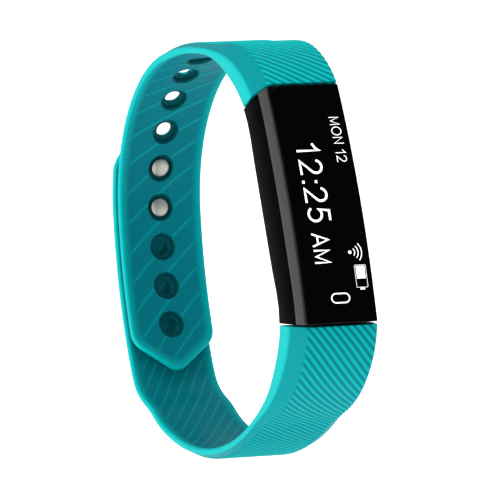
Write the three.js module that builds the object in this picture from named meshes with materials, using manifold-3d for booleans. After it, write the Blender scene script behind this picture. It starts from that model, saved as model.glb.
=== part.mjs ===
// A fitness tracker band: a glass-fronted pod held between two moulded rubber straps that close
// round the wrist with a pair of metal studs. Millimetres, +Z up, +Y along the wrist, and the
// origin at the middle of the wrist opening. The pod leans back, so everything sits in one group.
import * as THREE from "three";
import { mergeVertices } from "three/addons/utils/BufferGeometryUtils.js";
import Module from "manifold-3d";

const wasm = await Module();
wasm.setup();

// ---- Driving dimensions ----
const LEAN = 22.9; // degrees that the pod leans back from upright
const GAP = 0.3; // clearance between neighbouring solids
const HALF_WIDTH = 8; // half the strap's width

// The wrist opening seen along the wrist: a straight run behind the pod, then tangent arcs of
// [radius, degrees], with a straight crown after the second arc. Both straights close the loop.
const LOOP_ARCS = [
  [24, 67],
  [58, 17],
  [27, 80],
  [82, 19],
  [20, 47],
  [45, 58],
  [19.5, 72],
];
const ARCS_BEFORE_CROWN = 2;

// Stations: distances along the loop, anticlockwise from the lower end of the straight run.
const POD_START = -7.6;
const POD_END = 31.45;
const UPPER_SOCKET_END = 41.5;
const UPPER_NECK_END = 52;
const UPPER_FLEX = 64.15;
const FIRST_HOLE = 70.8;
const HOLE_PITCH = 7.14;
const HOLE_COUNT = 9;
const CHEVRON_START = 131;
const CHEVRON_TIP = 136.5;
const LOWER_TIP = 94.6;
const LOWER_TIP_START = 100.5;
const STEP_OUT_START = 146;
const STEP_OUT_END = 137;
const CLASP_HINGE = 150;
const LOWER_NECK_START = 186;
const LOWER_SOCKET_START = 202.5;
const STUD_HOLES = [4, 5]; // counted from 0 at the pod's end of the row

// The pod is stiffer than the loop it interrupts: its end faces stand off the loop's own ends by
// these [outward, up along the pod] shifts, at the back and at the glass, faded out to both sides.
const UPPER_END_SHIFTS = [
  [0.47, 0.08],
  [0.64, -1.31],
];
const LOWER_END_SHIFTS = [
  [0.83, -0.08],
  [1.16, 0.36],
];
const END_FADE = 10;

// Strap section, measured outwards from the inner face.
const STRAP_THICKNESS = 2;
const RIM_THICKNESS = 1.2;
const POD_THICKNESS = 9;
const POD_RIM = 4.1;
const CROWN_HALF = 6.62;
const OVERLAP_OFFSET = 2.5; // the lower strap's inner face, where it lies over the upper strap
const UPPER_TAPER = 21; // length over which a strap thins from the pod's thickness
const LOWER_TAPER = 23;

// Clasp.
const HOLE_RADIUS = 1.7;
const COUNTERBORE_RADIUS = 2.2;
const COUNTERBORE_DEPTH = 0.7;
const STUD_HEAD_RADIUS = 1.5;
const STUD_NECK_RADIUS = 1.1;
const FLANGE_RADIUS = 2.4;
const FLANGE_POCKET_DEPTH = 1.3;

// Pod section: fractions of the height between the back and the glass.
const POD_CROWN = 9.5; // height of the glass at the middle
const WALL_TOP = 0.46;
const CASE_TOP = 0.63;
const FRAME_RANGE = [0.655, 0.895];
const GASKET_RANGE = [0.905, 0.922];
const GLASS_RANGE = [0.932, 1];
const COVER_THICKNESS = 0.09;
const CASE_CAVITY = [7, -17.9, 17.9]; // half width, lower end and upper end
const FRAME_CAVITY = [5.9, -19.5, 17.9];
const GASKET_CAVITY = [5.8, -19.5, 19];

// Tongues that hold the straps.
const TONGUE_WIDTH = 12;
const TONGUE_THICKNESS = 2.3;
const TONGUE_HEIGHT = 3.2; // centre line above the loop's inner face
const CHARGING_REACH = 9;
const PLAIN_REACH = 5;
const SOCKET_CLEARANCE = 0.3;
const CONTACT_PLACES = [-3.5, -1, 1, 3.5];

const RADIANS = Math.PI / 180;

// ---- The loop curve ----
function loopSegments() {
  const segments = [{ heading: Math.PI / 2, length: 0, turn: 0 }];
  let heading = Math.PI / 2;
  LOOP_ARCS.forEach(([radius, degrees], i) => {
    const turn = degrees * RADIANS;
    segments.push({ heading, length: radius * turn, turn, radius });
    heading += turn;
    if (i === ARCS_BEFORE_CROWN - 1) segments.push({ heading, length: 0, turn: 0 });
  });
  const rest = new THREE.Vector2();
  for (const segment of segments) rest.add(travel(segment, segment.length));
  const crown = segments[ARCS_BEFORE_CROWN + 1];
  crown.length = -rest.x / Math.cos(crown.heading);
  segments[0].length = -rest.y - crown.length * Math.sin(crown.heading);
  return segments;
}

// How far a point gets along one segment of the loop.
function travel({ heading, turn, radius }, distance) {
  if (!turn) return new THREE.Vector2(Math.cos(heading), Math.sin(heading)).multiplyScalar(distance);
  const end = heading + distance / radius;
  return new THREE.Vector2(
    radius * (Math.sin(end) - Math.sin(heading)),
    radius * (Math.cos(heading) - Math.cos(end)),
  );
}

const segments = loopSegments();
const loopLength = segments.reduce((sum, segment) => sum + segment.length, 0);

// The loop's inner face at a station: its place and heading, with the start at (0, 0).
function walk(station) {
  let left = THREE.MathUtils.euclideanModulo(station, loopLength);
  const place = new THREE.Vector2();
  for (const segment of segments) {
    const distance = Math.min(left, segment.length);
    place.add(travel(segment, distance));
    left -= distance;
    if (left <= 0) {
      const turned = segment.turn ? distance / segment.radius : 0;
      return { place, heading: segment.heading + turned };
    }
  }
  return { place, heading: segments[0].heading };
}

const loopBox = new THREE.Box2();
for (let station = 0; station < loopLength; station += 0.25) {
  loopBox.expandByPoint(walk(station).place);
}
const loopCentre = loopBox.getCenter(new THREE.Vector2());

// The frame at a station: local X points outwards, local Y along the wrist, local Z along the strap.
function frameAt(station, offset = 0, y = 0) {
  const { place, heading } = walk(station);
  const out = new THREE.Vector3(Math.sin(heading), 0, -Math.cos(heading));
  const along = new THREE.Vector3(Math.cos(heading), 0, Math.sin(heading));
  const origin = new THREE.Vector3(place.x - loopCentre.x, y, place.y - loopCentre.y);
  origin.addScaledVector(out, offset);
  return new THREE.Matrix4()
    .makeBasis(out, new THREE.Vector3(0, 1, 0), along)
    .setPosition(origin);
}

function endShift(station, offset) {
  const shift = new THREE.Vector3();
  const ends = [
    [POD_END, UPPER_END_SHIFTS],
    [POD_START, LOWER_END_SHIFTS],
    [POD_START + loopLength, LOWER_END_SHIFTS],
  ];
  for (const [end, [back, glass]] of ends) {
    const weight = ease(Math.abs(station - end), END_FADE);
    const share = offset / POD_THICKNESS;
    shift.x += weight * THREE.MathUtils.lerp(back[0], glass[0], share);
    shift.z += weight * THREE.MathUtils.lerp(back[1], glass[1], share);
  }
  return shift;
}

function pointAt(station, offset, y) {
  const point = new THREE.Vector3().setFromMatrixPosition(frameAt(station, offset, y));
  return point.add(endShift(station, offset));
}

// ---- Solids ----
// A closed solid through a list of rings: quads between neighbours and a fan over each end.
function loft(rings) {
  const count = rings[0].length;
  const lastStart = (rings.length - 1) * count;
  const index = [];
  for (let start = 0; start < lastStart; start += count) {
    for (let j = 0; j < count; j++) {
      const a = start + j;
      const b = start + ((j + 1) % count);
      index.push(a, b, b + count, a, b + count, a + count);
    }
  }
  for (let j = 1; j < count - 1; j++) {
    index.push(0, j + 1, j);
    index.push(lastStart, lastStart + j, lastStart + j + 1);
  }
  const geometry = new THREE.BufferGeometry().setFromPoints(rings.flat());
  geometry.setIndex(index);
  return geometry;
}

function toSolid(geometry) {
  const bare = geometry.clone();
  bare.deleteAttribute("normal");
  bare.deleteAttribute("uv");
  const merged = mergeVertices(bare, 1e-4);
  const mesh = new wasm.Mesh({
    numProp: 3,
    vertProperties: merged.attributes.position.array,
    triVerts: new Uint32Array(merged.index.array),
  });
  return new wasm.Manifold(mesh);
}

function toGeometry(solid) {
  const { vertProperties, triVerts } = solid.getMesh();
  const geometry = new THREE.BufferGeometry();
  geometry.setAttribute("position", new THREE.BufferAttribute(vertProperties, 3));
  geometry.setIndex(new THREE.BufferAttribute(triVerts, 1));
  return geometry;
}

function cut(geometry, tools) {
  let solid = toSolid(geometry);
  for (const tool of tools) solid = solid.subtract(toSolid(tool));
  return toGeometry(solid);
}

function joined(geometry, others) {
  let solid = toSolid(geometry);
  for (const other of others) solid = solid.add(toSolid(other));
  return toGeometry(solid);
}

// A box between two corners.
function box([x0, y0, z0], [x1, y1, z1]) {
  const geometry = new THREE.BoxGeometry(x1 - x0, y1 - y0, z1 - z0);
  return geometry.translate((x0 + x1) / 2, (y0 + y1) / 2, (z0 + z1) / 2);
}

// A cylinder along local X, from one height to another.
function rod(radius, low, high, sides = 20) {
  const geometry = new THREE.CylinderGeometry(radius, radius, high - low, sides);
  return geometry.rotateZ(-Math.PI / 2).translate((low + high) / 2, 0, 0);
}

// A turned solid along local X, from its [radius, height] profile.
function turned(profile, sides = 24) {
  const points = profile.map(([radius, height]) => new THREE.Vector2(radius, height));
  return new THREE.LatheGeometry(points, sides).rotateZ(-Math.PI / 2);
}

// ---- Materials and pieces ----
const band = new THREE.Group();
band.rotation.y = -LEAN * RADIANS;

function addPiece(parent, name, geometry, colour, roughness, metalness = 0) {
  const flat = geometry.index ? geometry.toNonIndexed() : geometry;
  flat.computeVertexNormals();
  const material = new THREE.MeshStandardMaterial({ color: colour, roughness, metalness });
  const mesh = new THREE.Mesh(flat, material);
  mesh.name = name;
  parent.add(mesh);
}

const RUBBER = "#12c4c0";
const BLACK = "#101012";
const GOLD = "#d8b45a";
const STEEL = "#c4c8c4";

// ---- Strap sections ----
// Falls from 1 to 0 over a length, with a level start and end.
function ease(distance, length) {
  const share = THREE.MathUtils.clamp(distance / length, 0, 1);
  return 0.5 + 0.5 * Math.cos(Math.PI * share);
}

// One ring of a strap: flat inner face, upright rim, sloping shoulder and flat crown.
function strapRing(station, { base, rim, crown, half }) {
  const crownHalf = Math.max(half - (HALF_WIDTH - CROWN_HALF), half * 0.5);
  return [
    pointAt(station, base, -half),
    pointAt(station, base + rim, -half),
    pointAt(station, base + crown, -crownHalf),
    pointAt(station, base + crown, crownHalf),
    pointAt(station, base + rim, half),
    pointAt(station, base, half),
  ];
}

function upperSection(station) {
  const thick = ease(station - POD_END, UPPER_TAPER);
  const share = Math.max(0, (station - CHEVRON_START) / (CHEVRON_TIP - CHEVRON_START));
  return {
    base: 0,
    rim: THREE.MathUtils.lerp(RIM_THICKNESS, POD_RIM, thick),
    crown: THREE.MathUtils.lerp(STRAP_THICKNESS, POD_THICKNESS, thick),
    half: THREE.MathUtils.lerp(HALF_WIDTH, 0.7, share),
  };
}

function lowerSection(station) {
  const thick = ease(loopLength + POD_START - station, LOWER_TAPER);
  const stepOut = 1 - ease(STEP_OUT_START - station, STEP_OUT_START - STEP_OUT_END);
  const share = Math.max(0, (LOWER_TIP_START - station) / (LOWER_TIP_START - LOWER_TIP + 0.1));
  return {
    base: OVERLAP_OFFSET * stepOut,
    rim: THREE.MathUtils.lerp(RIM_THICKNESS, POD_RIM, thick),
    crown: THREE.MathUtils.lerp(STRAP_THICKNESS, POD_THICKNESS, thick),
    half: HALF_WIDTH * Math.sqrt(1 - share ** 2),
  };
}

// A length of strap through the stations given, with even steps of about 2.2 mm between them.
function strapLength(stops, section) {
  const rings = [];
  for (let i = 0; i < stops.length - 1; i++) {
    const steps = Math.ceil(Math.abs(stops[i + 1] - stops[i]) / 2.2);
    for (let k = 0; k < steps; k++) {
      const station = THREE.MathUtils.lerp(stops[i], stops[i + 1], k / steps);
      rings.push(strapRing(station, section(station)));
    }
  }
  const last = stops[stops.length - 1];
  rings.push(strapRing(last, section(last)));
  return loft(rings);
}

// ---- Tongues and their pockets ----
// A tongue lies square to the pod's slanted end. side is +1 at the upper end and -1 at the lower.
function tongueBlock(side, from, reach, slack = 0) {
  const station = side > 0 ? POD_END : POD_START;
  const halfWidth = TONGUE_WIDTH / 2 + slack;
  const halfThickness = TONGUE_THICKNESS / 2 + slack;
  const ends = [side * from, side * reach].sort((a, b) => a - b);
  const block = box(
    [TONGUE_HEIGHT - halfThickness, -halfWidth, ends[0]],
    [TONGUE_HEIGHT + halfThickness, halfWidth, ends[1]],
  );
  return block.applyMatrix4(frameAt(station));
}

// ---- Upper strap: carries the holes and lies inside ----
function upperHoles() {
  const tools = [];
  for (let i = 0; i < HOLE_COUNT; i++) {
    const place = frameAt(FIRST_HOLE + i * HOLE_PITCH);
    tools.push(rod(HOLE_RADIUS, -1, STRAP_THICKNESS + 1, 16).applyMatrix4(place));
    tools.push(rod(COUNTERBORE_RADIUS, -1, COUNTERBORE_DEPTH, 16).applyMatrix4(place));
  }
  return tools;
}

function addUpperStrap() {
  const start = POD_END + GAP;
  const socket = strapLength([start, UPPER_SOCKET_END], upperSection);
  const pocket = tongueBlock(1, -1, PLAIN_REACH + SOCKET_CLEARANCE, SOCKET_CLEARANCE);
  addPiece(band, "upper_strap_socket", cut(socket, [pocket]), RUBBER, 0.6);
  const neck = strapLength([UPPER_SOCKET_END + GAP, UPPER_NECK_END], upperSection);
  addPiece(band, "upper_strap_neck", neck, RUBBER, 0.6);
  const arch = strapLength([UPPER_NECK_END + GAP, UPPER_FLEX - GAP / 2], upperSection);
  addPiece(band, "upper_strap_arch", arch, RUBBER, 0.6);
  const tail = strapLength([UPPER_FLEX + GAP / 2, CHEVRON_START, CHEVRON_TIP], upperSection);
  addPiece(band, "upper_strap_tail", cut(tail, upperHoles()), RUBBER, 0.6);
}

// ---- Lower strap: carries the studs and lies outside ----
function studPlace(hole) {
  return frameAt(FIRST_HOLE + hole * HOLE_PITCH);
}

function addLowerStrap() {
  const end = loopLength + POD_START - GAP;
  const socket = strapLength([LOWER_SOCKET_START, end], lowerSection);
  const pocket = tongueBlock(-1, -1, CHARGING_REACH + SOCKET_CLEARANCE, SOCKET_CLEARANCE);
  addPiece(band, "lower_strap_socket", cut(socket, [pocket]), RUBBER, 0.6);
  const neck = strapLength([LOWER_NECK_START, LOWER_SOCKET_START - GAP], lowerSection);
  addPiece(band, "lower_strap_neck", neck, RUBBER, 0.6);
  const arch = strapLength([CLASP_HINGE + GAP / 2, LOWER_NECK_START - GAP], lowerSection);
  addPiece(band, "lower_strap_arch", arch, RUBBER, 0.6);
  const stops = [LOWER_TIP, LOWER_TIP_START, STEP_OUT_END, STEP_OUT_START, CLASP_HINGE - GAP / 2];
  const pockets = STUD_HOLES.map((hole) => {
    const depth = OVERLAP_OFFSET + FLANGE_POCKET_DEPTH;
    return rod(FLANGE_RADIUS + GAP, 0, depth).applyMatrix4(studPlace(hole));
  });
  addPiece(band, "lower_strap_tail", cut(strapLength(stops, lowerSection), pockets), RUBBER, 0.6);
}

// A stud: domed head, neck and the flange that the lower strap holds.
function addStuds() {
  const flangeLow = OVERLAP_OFFSET + 0.2;
  const flangeHigh = OVERLAP_OFFSET + FLANGE_POCKET_DEPTH - GAP;
  const profile = [
    [0, 0],
    [STUD_HEAD_RADIUS * 0.6, 0.08],
    [STUD_HEAD_RADIUS, 0.4],
    [STUD_HEAD_RADIUS, 0.7],
    [STUD_NECK_RADIUS, 1],
    [STUD_NECK_RADIUS, flangeLow],
    [FLANGE_RADIUS, flangeLow],
    [FLANGE_RADIUS, flangeHigh],
    [0, flangeHigh],
  ];
  STUD_HOLES.forEach((hole, i) => {
    const stud = turned(profile, 20).applyMatrix4(studPlace(hole));
    addPiece(band, `clasp_stud_${i + 1}`, stud, STEEL, 0.3, 1);
  });
}

// ---- Pod ----
const podCentre = (POD_START + POD_END) / 2;
const podFrame = frameAt(podCentre);
const toPodFrame = podFrame.clone().invert();
const pod = new THREE.Group();
pod.applyMatrix4(podFrame);
band.add(pod);

// The glass meets the straps' crowns at both ends and bows up to its own crown between them.
const glassEnds = [POD_START, POD_END].map((station) => {
  return pointAt(station, POD_THICKNESS, 0).applyMatrix4(toPodFrame);
});

// A point of the pod: share 0 to 1 along its length, height 0 at the back to 1 at the glass.
function podPoint(share, height, y) {
  const back = pointAt(THREE.MathUtils.lerp(POD_START, POD_END, share), 0, y);
  back.applyMatrix4(toPodFrame);
  const front = glassEnds[0].clone().lerp(glassEnds[1], share);
  const bow = POD_CROWN - (glassEnds[0].x + glassEnds[1].x) / 2;
  front.x += bow * (1 - (2 * share - 1) ** 2);
  front.y = y;
  return back.lerp(front, height);
}

// Half the pod's width at a height: upright walls, then the slope up to the glass.
function podHalfWidth(height) {
  const slope = Math.max(0, (height - WALL_TOP) / (1 - WALL_TOP));
  return THREE.MathUtils.lerp(HALF_WIDTH, CROWN_HALF, slope);
}

// A layer of the pod between two heights. inset makes it narrower and shorter.
function podLayer([low, high], inset = 0, shares = [0, 1]) {
  const heights = low < WALL_TOP && high > WALL_TOP ? [low, WALL_TOP, high] : [low, high];
  const rings = [];
  const steps = 14;
  for (let k = 0; k <= steps; k++) {
    const share = THREE.MathUtils.lerp(shares[0], shares[1], k / steps);
    const near = heights.map((height) => podPoint(share, height, inset - podHalfWidth(height)));
    const far = heights.map((height) => podPoint(share, height, podHalfWidth(height) - inset));
    rings.push([...near, ...far.reverse()]);
  }
  return loft(rings);
}

function cavity([halfWidth, low, high]) {
  return box([-5, -halfWidth, low], [15, halfWidth, high]);
}

function addHousing() {
  const slot = tongueBlock(-1, -6, 1, GAP).applyMatrix4(toPodFrame);
  const tongue = tongueBlock(1, -0.8, PLAIN_REACH).applyMatrix4(toPodFrame);
  const shell = cut(podLayer([0, CASE_TOP]), [cavity(CASE_CAVITY), slot]);
  addPiece(pod, "lower_case", joined(shell, [tongue]), BLACK, 0.5);
  const inset = HALF_WIDTH - CASE_CAVITY[0] + GAP;
  addPiece(pod, "back_cover", podLayer([0, COVER_THICKNESS], inset, [0.055, 0.945]), BLACK, 0.55);
  addPiece(pod, "bezel_frame", cut(podLayer(FRAME_RANGE), [cavity(FRAME_CAVITY)]), "#5a5a5a", 0.45);
  const gasket = cut(podLayer(GASKET_RANGE, 0.3, [0.01, 0.99]), [cavity(GASKET_CAVITY)]);
  addPiece(pod, "cover_gasket", gasket, "#2a2a2c", 0.8);
  addPiece(pod, "glass_cover", podLayer(GLASS_RANGE, 0.1, [0.003, 0.997]), "#050507", 0.08);
}

function addCharging() {
  const tongue = tongueBlock(-1, -3.5, CHARGING_REACH).applyMatrix4(toPodFrame);
  addPiece(pod, "charging_tongue", tongue, "#18181a", 0.5);
  const face = TONGUE_HEIGHT + TONGUE_THICKNESS / 2 + 0.03;
  CONTACT_PLACES.forEach((y, i) => {
    const contact = box([face, y - 0.5, 1.2 - CHARGING_REACH], [face + 0.12, y + 0.5, -1]);
    contact.applyMatrix4(frameAt(POD_START)).applyMatrix4(toPodFrame);
    addPiece(pod, `charging_contact_${i + 1}`, contact, GOLD, 0.25, 1);
  });
}

function addElectronics() {
  addPiece(pod, "battery_cell", box([1.2, -6, -15.3], [4.1, 6, 4.5]), "#b9bcc0", 0.4, 0.6);
  addPiece(pod, "main_board", box([4.4, -5.7, -17.2], [5, 5.7, 17.2]), "#0f4a2c", 0.5);
  const onBoard = 5 + GAP / 2;
  addPiece(pod, "processor_chip", box([onBoard, -2.5, -4], [6, 2.5, 1]), "#1b1b1d", 0.4);
  addPiece(pod, "motion_sensor_chip", box([onBoard, -1, 4], [6, 1, 6]), "#1b1b1d", 0.4);
  addPiece(pod, "crystal", box([onBoard, -4.6, -3], [5.9, -3.2, 0.2]), STEEL, 0.3, 1);
  addPiece(pod, "antenna_chip", box([onBoard, -1.6, 13.4], [6.1, 1.6, 15]), "#d9d6cc", 0.5);
  addPiece(pod, "oled_panel", box([6.5, -5.6, -16.7], [7.6, 5.6, 15.5]), "#0a0a0d", 0.1);
  const ribbon = new THREE.Shape();
  ribbon.moveTo(6.9, 15.8);
  ribbon.lineTo(7.1, 15.8);
  ribbon.lineTo(7.1, 16.7);
  ribbon.lineTo(5.15, 16.7);
  ribbon.lineTo(5.15, 15.4);
  ribbon.lineTo(5.35, 15.4);
  ribbon.lineTo(5.35, 16.5);
  ribbon.lineTo(6.9, 16.5);
  const flex = new THREE.ExtrudeGeometry(ribbon, { depth: 5, bevelEnabled: false });
  flex.rotateX(Math.PI / 2).translate(0, 2.5, 0);
  addPiece(pod, "oled_flex", flex, "#b8791c", 0.4);
  const plate = box([6.9, -2.4, -19.2], [7.05, 2.4, -17]);
  const leg = box([onBoard, -0.5, -17.2], [7, 0.5, -17]);
  addPiece(pod, "touch_electrode", joined(plate, [leg]), "#c98a4b", 0.3, 1);
}

// A coin motor: base with its shaft, eccentric rotor and cap.
function addMotor() {
  const motor = new THREE.Group();
  motor.position.set(1.2, 0, 10.2);
  pod.add(motor);
  const base = [
    [0, 0],
    [4, 0],
    [4, 0.3],
    [0.4, 0.3],
    [0.4, 2.2],
    [0, 2.2],
  ];
  addPiece(motor, "motor_base", turned(base), STEEL, 0.3, 1);
  const cap = [
    [3.7, 0.5],
    [4, 0.5],
    [4, 2.8],
    [0, 2.8],
    [0, 2.5],
    [3.7, 2.5],
    [3.7, 0.5],
  ];
  addPiece(motor, "motor_cap", turned(cap), STEEL, 0.3, 1);
  const outline = new THREE.Shape();
  outline.absarc(0, 0, 3.3, 0, Math.PI);
  outline.absarc(0, 0, 1, Math.PI, 2 * Math.PI);
  const bore = new THREE.Path();
  bore.absarc(0, 0, 0.5, 0, 2 * Math.PI, true);
  outline.holes.push(bore);
  const settings = { depth: 1.4, bevelEnabled: false, curveSegments: 12 };
  const rotor = new THREE.ExtrudeGeometry(outline, settings);
  rotor.rotateY(Math.PI / 2).translate(0.6, 0, 0);
  addPiece(motor, "motor_rotor", rotor, "#8a8d92", 0.35, 1);
}

addUpperStrap();
addLowerStrap();
addStuds();
addHousing();
addCharging();
addElectronics();
addMotor();

export default band;
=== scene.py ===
"""Looks of a fitness tracker band: a glass-fronted pod on two ribbed rubber straps with a stud clasp."""

import math

import bpy
import numpy as np
from mathutils import Matrix, Vector


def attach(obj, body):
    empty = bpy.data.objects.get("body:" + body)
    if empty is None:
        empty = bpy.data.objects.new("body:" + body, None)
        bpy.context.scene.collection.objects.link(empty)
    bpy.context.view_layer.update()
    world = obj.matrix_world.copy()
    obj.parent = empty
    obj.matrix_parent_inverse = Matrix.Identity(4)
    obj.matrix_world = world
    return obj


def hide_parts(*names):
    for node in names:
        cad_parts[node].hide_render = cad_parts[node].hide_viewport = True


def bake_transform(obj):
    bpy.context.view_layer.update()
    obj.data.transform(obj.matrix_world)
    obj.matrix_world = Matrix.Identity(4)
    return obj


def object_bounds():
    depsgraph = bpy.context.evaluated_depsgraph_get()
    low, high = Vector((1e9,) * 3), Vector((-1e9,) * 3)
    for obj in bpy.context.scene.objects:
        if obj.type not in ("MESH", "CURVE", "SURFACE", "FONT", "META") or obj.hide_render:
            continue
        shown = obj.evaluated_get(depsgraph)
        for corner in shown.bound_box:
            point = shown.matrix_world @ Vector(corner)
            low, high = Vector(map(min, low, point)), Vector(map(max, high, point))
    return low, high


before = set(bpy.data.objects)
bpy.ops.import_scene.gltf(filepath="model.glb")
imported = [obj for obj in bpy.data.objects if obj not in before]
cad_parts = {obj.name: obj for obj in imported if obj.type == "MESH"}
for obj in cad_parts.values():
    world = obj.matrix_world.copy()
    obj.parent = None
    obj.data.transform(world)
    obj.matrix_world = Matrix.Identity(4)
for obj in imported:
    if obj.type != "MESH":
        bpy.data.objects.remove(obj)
cad_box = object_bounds()

bl_info = {
    "name": "Fitness tracker band",
    "version": (1, 0, 0),
    "blender": (4, 5, 0),
    "location": "3D View > Sidebar > Tracker band",
    "description": "Builds the looks of a fitness tracker band around its CAD frame",
    "category": "Object",
}

MM = 0.001
FLOOR_DROP = 6 * MM  # from the lowest point of the closed band to the floor

# ---- The strap's path, repeated from the CAD, in millimetres ----
LEAN = math.radians(22.9)
LOOP_ARCS = [(24, 67), (58, 17), (27, 80), (82, 19), (20, 47), (45, 58), (19.5, 72)]
ARCS_BEFORE_CROWN = 2
HALF_WIDTH = 8.0
CROWN_HALF = 6.62
POD_START, POD_END = -7.6, 31.45
POD_GAP = 0.3
POD_CROWN = 9.5
RIM_THICKNESS, POD_RIM = 1.2, 4.1
STRAP_THICKNESS, POD_THICKNESS = 2.0, 9.0
UPPER_TAPER, LOWER_TAPER = 21.0, 23.0
FIRST_HOLE, HOLE_PITCH, HOLE_COUNT = 70.8, 7.14, 9
STUD_HOLES = (4, 5)
OVERLAP_OFFSET = 2.5
STEP_OUT_START, STEP_OUT_END = 146.0, 137.0
CHEVRON_SLOPE = 7.3 / 5.5
CHEVRON_POINT = 137.03
LOWER_TIP_START, LOWER_TIP_LENGTH = 100.5, 6.0
UPPER_SEAM = 54.0
LOWER_SEAM = 163.0
# Stations between which each strap gives way to its release and bends at its hinge.
UPPER_GIVE, UPPER_BEND = (42.5, 53.5), (55.5, 73.5)
LOWER_GIVE, LOWER_BEND = (203.2, 178), (161.5, 138.5)
TONGUE_HEIGHT, TONGUE_WIDTH, TONGUE_THICKNESS = 3.2, 12.0, 2.3
SOCKET_CLEARANCE = 0.3
UPPER_POCKET, LOWER_POCKET = 5.3, 9.3
# Where the pod's end faces stand, as shifts of the loop's own ends: [outward, up the pod] at the
# back, then the same at the glass.
END_SHIFTS = {POD_END: ((0.47, 0.08), (0.64, -1.31)), POD_START: ((0.83, -0.08), (1.16, 0.36))}
END_FADE = 10.0

# ---- Display graphics, in millimetres on the glass: across it, and up the pod from its middle ----
GLASS_BACK = 31.7673  # distance from the middle of the loop to the pod's back
POD_MIDDLE = -2.9537
GLASS_ENDS = ((39.79, -25.35), (39.8, 17.91))


def path_segments():
    """Start station, place, heading, length and radius of each piece of the path. A straight has radius 0."""
    pieces = [[math.pi / 2, 0.0, 0.0]]
    heading = math.pi / 2
    for number, (radius, degrees) in enumerate(LOOP_ARCS):
        turn = math.radians(degrees)
        pieces.append([heading, radius * turn, radius])
        heading += turn
        if number == ARCS_BEFORE_CROWN - 1:
            pieces.append([heading, 0.0, 0.0])

    def walk_over():
        rows, station, place = [], 0.0, np.zeros(2)
        for start, length, radius in pieces:
            rows.append((station, place[0], place[1], start, length, radius))
            station += length
            place = place + step(start, length, radius)
        return rows, station, place

    rest = walk_over()[2]
    crown = pieces[ARCS_BEFORE_CROWN + 1]
    crown[1] = -rest[0] / math.cos(crown[0])
    pieces[0][1] = -rest[1] - crown[1] * math.sin(crown[0])
    rows, total, _ = walk_over()
    return np.array(rows), total


def step(heading, distance, radius):
    """How far a point gets along a straight or an arc."""
    if not radius:
        return distance * np.array([math.cos(heading), math.sin(heading)])
    end = heading + distance / radius
    return radius * np.array([math.sin(end) - math.sin(heading), math.cos(heading) - math.cos(end)])


SEGMENTS, LOOP_LENGTH = path_segments()


def walk(station):
    """Places and headings on the inner face at an array of stations."""
    left = np.mod(np.asarray(station, float), LOOP_LENGTH)
    row = SEGMENTS[np.searchsorted(SEGMENTS[:, 0], left, side="right") - 1]
    begin, x, z, heading, _, radius = row.T
    distance = left - begin
    bent = radius > 0
    safe = np.where(bent, radius, 1.0)
    end = heading + np.where(bent, distance / safe, 0.0)
    across = np.where(bent, safe * (np.sin(end) - np.sin(heading)), distance * np.cos(heading))
    up = np.where(bent, safe * (np.cos(heading) - np.cos(end)), distance * np.sin(heading))
    return x + across, z + up, end


def loop_centre():
    """Middle of the box round the loop's inner face."""
    x, z, _ = walk(np.arange(0, LOOP_LENGTH, 0.25))
    return (x.min() + x.max()) / 2, (z.min() + z.max()) / 2


CENTRE = loop_centre()


def lean(x, y, z):
    """Upright millimetres to metres in the frame of the whole part."""
    c, s = math.cos(LEAN), math.sin(LEAN)
    return np.stack([x * c - z * s, y + 0 * x, x * s + z * c], -1) * MM


def end_shift(station, offset):
    """How far the pod's end faces push the straps, faded out along them."""
    shift = np.zeros((2,) + np.broadcast(station, offset).shape)
    share = offset / POD_THICKNESS
    for end, (back, glass) in END_SHIFTS.items():
        away = np.mod(station - end + LOOP_LENGTH / 2, LOOP_LENGTH) - LOOP_LENGTH / 2
        weight = ease(np.abs(away), END_FADE)
        for axis in (0, 1):
            shift[axis] += weight * (back[axis] + (glass[axis] - back[axis]) * share)
    return shift


def on_path(station, offset, y, shifted=True):
    """Points of a strap: distance along it, distance outwards from its inner face, and distance across."""
    x, z, heading = walk(station)
    x = x - CENTRE[0] + offset * np.sin(heading)
    z = z - CENTRE[1] - offset * np.cos(heading)
    if shifted:
        push = end_shift(np.asarray(station, float), offset)
        x, z = x + push[0], z + push[1]
    return lean(x, y, z)


def place_at(station, offset=0.0):
    """A matrix whose +Z points outwards from the strap and whose +Y runs across it, in metres."""
    heading = float(walk([station])[2][0])
    origin = Vector(on_path(np.array([station]), offset, 0.0, shifted=False)[0])
    out = Vector(lean(np.array([math.sin(heading)]), 0.0, np.array([-math.cos(heading)]))[0]).normalized()
    across = Vector((0, 1, 0))
    along = across.cross(out)
    return Matrix.Translation(origin) @ Matrix((along, across, out)).transposed().to_4x4()


def ease(distance, length):
    """Falls from 1 to 0 over a length, level at both ends."""
    return 0.5 + 0.5 * np.cos(np.pi * np.clip(distance / length, 0, 1))


def smooth(t):
    """Rises from 0 to 1 as t does, level at both ends."""
    t = np.clip(t, 0, 1)
    return t * t * (3 - 2 * t)


def soft_min(a, b, width):
    """The lesser of two distances, with the corner between them rounded."""
    h = np.maximum(width - np.abs(a - b), 0) / width
    return np.minimum(a, b) - h * h * width / 4


# ---- Strap shape ----
def upper_edge(station, y):
    """Distance in from the upper strap's outline, whose end is a chevron with rounded corners."""
    share = 1 / math.hypot(1, CHEVRON_SLOPE)
    reach = CHEVRON_SLOPE * (CHEVRON_POINT - station)
    ends = soft_min((reach - y) * share, (reach + y) * share, 2.0)
    return soft_min(HALF_WIDTH - np.abs(y), ends, 1.6)


def lower_edge(station, y):
    """Distance in from the lower strap's outline, whose end is half an ellipse."""
    along = np.maximum(LOWER_TIP_START - station, 0)
    level = np.sqrt((along / LOWER_TIP_LENGTH) ** 2 + (y / HALF_WIDTH) ** 2) + 1e-9
    steepness = np.hypot(along / LOWER_TIP_LENGTH**2, y / HALF_WIDTH**2) / level + 1e-9
    return np.minimum((1 - level) / steepness, HALF_WIDTH)


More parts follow.
